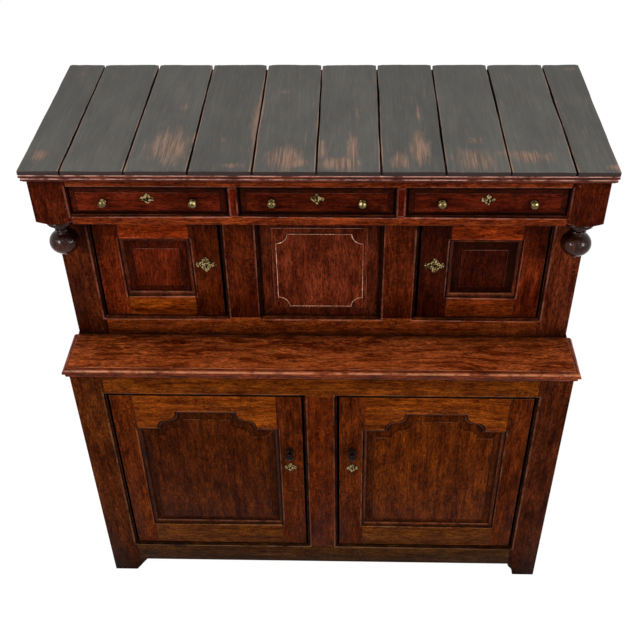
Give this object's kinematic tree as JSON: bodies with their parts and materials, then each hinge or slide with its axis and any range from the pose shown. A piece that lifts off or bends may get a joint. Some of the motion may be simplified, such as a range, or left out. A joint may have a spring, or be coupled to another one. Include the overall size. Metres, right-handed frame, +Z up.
{
  "type": "court cupboard",
  "caption": "Joined oak court cupboard: arched lower doors, recessed upper doors beside a fixed panel, and a frieze of drawers over turned corner pendants.",
  "frame": {"origin": "on the floor, under the middle of the whole cupboard's bounding box", "axes": "+X to the viewer's right, +Y from the front to the back, +Z up"},
  "size_m": [1.398, 0.604, 1.512],
  "materials": {
    "oak": "dark waxed and polished oak",
    "shelf_oak": "polished streaky oak",
    "inner_oak": "dry unpolished oak",
    "turned_oak": "dark glossy turned oak",
    "ebonised_oak": "black polished wood",
    "worn_paint": "worn dark grey paint over oak",
    "brass": "aged polished brass",
    "iron": "dark wrought iron"
  },
  "bodies": {
    "case": {"back_boards": "inner_oak", "back_rails": "inner_oak", "centre_panel": "oak", "cornice_moulding": "oak", "drawer_guides": "inner_oak", "drawer_runners": "inner_oak", "floor_boards": "inner_oak", "foot_bracket": "oak", "frieze_frame": "oak", "hinge_pins": "iron", "joint_pegs": "oak", "lower_back_posts": "oak", "lower_front_posts": "oak", "lower_front_rails": "oak", "lower_muntin": "oak", "pendant_posts": "turned_oak", "shelf_boards": "shelf_oak", "shelf_moulding": "shelf_oak", "side_panels": "oak", "side_rails": "oak", "soffit_boards": "inner_oak", "top_boards": "worn_paint", "upper_back_posts": "oak", "upper_front_posts": "oak", "upper_front_rails": "oak", "upper_muntins": "oak"},
    "upper_left_door": {"upper_left_door_frame": "oak", "upper_left_door_panel": "oak", "upper_left_door_lock": "brass"},
    "upper_left_bolt": {"upper_left_door_bolt": "iron"},
    "lower_left_door": {"lower_left_door_frame": "oak", "lower_left_door_panel": "oak", "lower_left_door_lock": "brass", "lower_left_door_knob": "ebonised_oak"},
    "lower_left_bolt": {"lower_left_door_bolt": "iron"},
    "upper_right_door": {"upper_right_door_frame": "oak", "upper_right_door_panel": "oak", "upper_right_door_lock": "brass"},
    "upper_right_bolt": {"upper_right_door_bolt": "iron"},
    "lower_right_door": {"lower_right_door_frame": "oak", "lower_right_door_panel": "oak", "lower_right_door_lock": "brass", "lower_right_door_knob": "ebonised_oak"},
    "lower_right_bolt": {"lower_right_door_bolt": "iron"},
    "left_drawer": {"left_drawer_front": "oak", "left_drawer_box": "inner_oak", "left_drawer_knobs": "brass", "left_drawer_lock": "brass"},
    "left_bolt": {"left_drawer_bolt": "iron"},
    "centre_drawer": {"centre_drawer_front": "oak", "centre_drawer_box": "inner_oak", "centre_drawer_knobs": "brass", "centre_drawer_lock": "brass"},
    "centre_bolt": {"centre_drawer_bolt": "iron"},
    "right_drawer": {"right_drawer_front": "oak", "right_drawer_box": "inner_oak", "right_drawer_knobs": "brass", "right_drawer_lock": "brass"},
    "right_bolt": {"right_drawer_bolt": "iron"}
  },
  "joints": [
    {"name": "upper_left_door_hinge", "type": "hinge", "parent": "case", "child": "upper_left_door", "pos_m": [-0.581, -0.122, 1.1345], "axis": [0, 0, -1], "range_deg": [0, 95]},
    {"name": "upper_left_bolt_slide", "type": "slide", "parent": "upper_left_door", "child": "upper_left_bolt", "axis": [1, 0, 0], "range_m": [0, 0.013]},
    {"name": "upper_right_door_hinge", "type": "hinge", "parent": "case", "child": "upper_right_door", "pos_m": [0.581, -0.122, 1.1345], "axis": [0, 0, 1], "range_deg": [0, 95]},
    {"name": "upper_right_bolt_slide", "type": "slide", "parent": "upper_right_door", "child": "upper_right_bolt", "axis": [-1, 0, 0], "range_m": [0, 0.013]},
    {"name": "lower_left_door_hinge", "type": "hinge", "parent": "case", "child": "lower_left_door", "pos_m": [-0.582, -0.261, 0.4695], "axis": [0, 0, -1], "range_deg": [0, 100]},
    {"name": "lower_left_bolt_slide", "type": "slide", "parent": "lower_left_door", "child": "lower_left_bolt", "axis": [1, 0, 0], "range_m": [0, 0.013]},
    {"name": "lower_right_door_hinge", "type": "hinge", "parent": "case", "child": "lower_right_door", "pos_m": [0.582, -0.261, 0.4695], "axis": [0, 0, 1], "range_deg": [0, 100]},
    {"name": "lower_right_bolt_slide", "type": "slide", "parent": "lower_right_door", "child": "lower_right_bolt", "axis": [-1, 0, 0], "range_m": [0, 0.013]},
    {"name": "left_drawer_slide", "type": "slide", "parent": "case", "child": "left_drawer", "axis": [0, -1, 0], "range_m": [0, 0.25]},
    {"name": "left_bolt_slide", "type": "slide", "parent": "left_drawer", "child": "left_bolt", "axis": [0, 0, 1], "range_m": [0, 0.007]},
    {"name": "centre_drawer_slide", "type": "slide", "parent": "case", "child": "centre_drawer", "axis": [0, -1, 0], "range_m": [0, 0.25]},
    {"name": "centre_bolt_slide", "type": "slide", "parent": "centre_drawer", "child": "centre_bolt", "axis": [0, 0, 1], "range_m": [0, 0.007]},
    {"name": "right_drawer_slide", "type": "slide", "parent": "case", "child": "right_drawer", "axis": [0, -1, 0], "range_m": [0, 0.25]},
    {"name": "right_bolt_slide", "type": "slide", "parent": "right_drawer", "child": "right_bolt", "axis": [0, 0, 1], "range_m": [0, 0.007]}
  ]
}
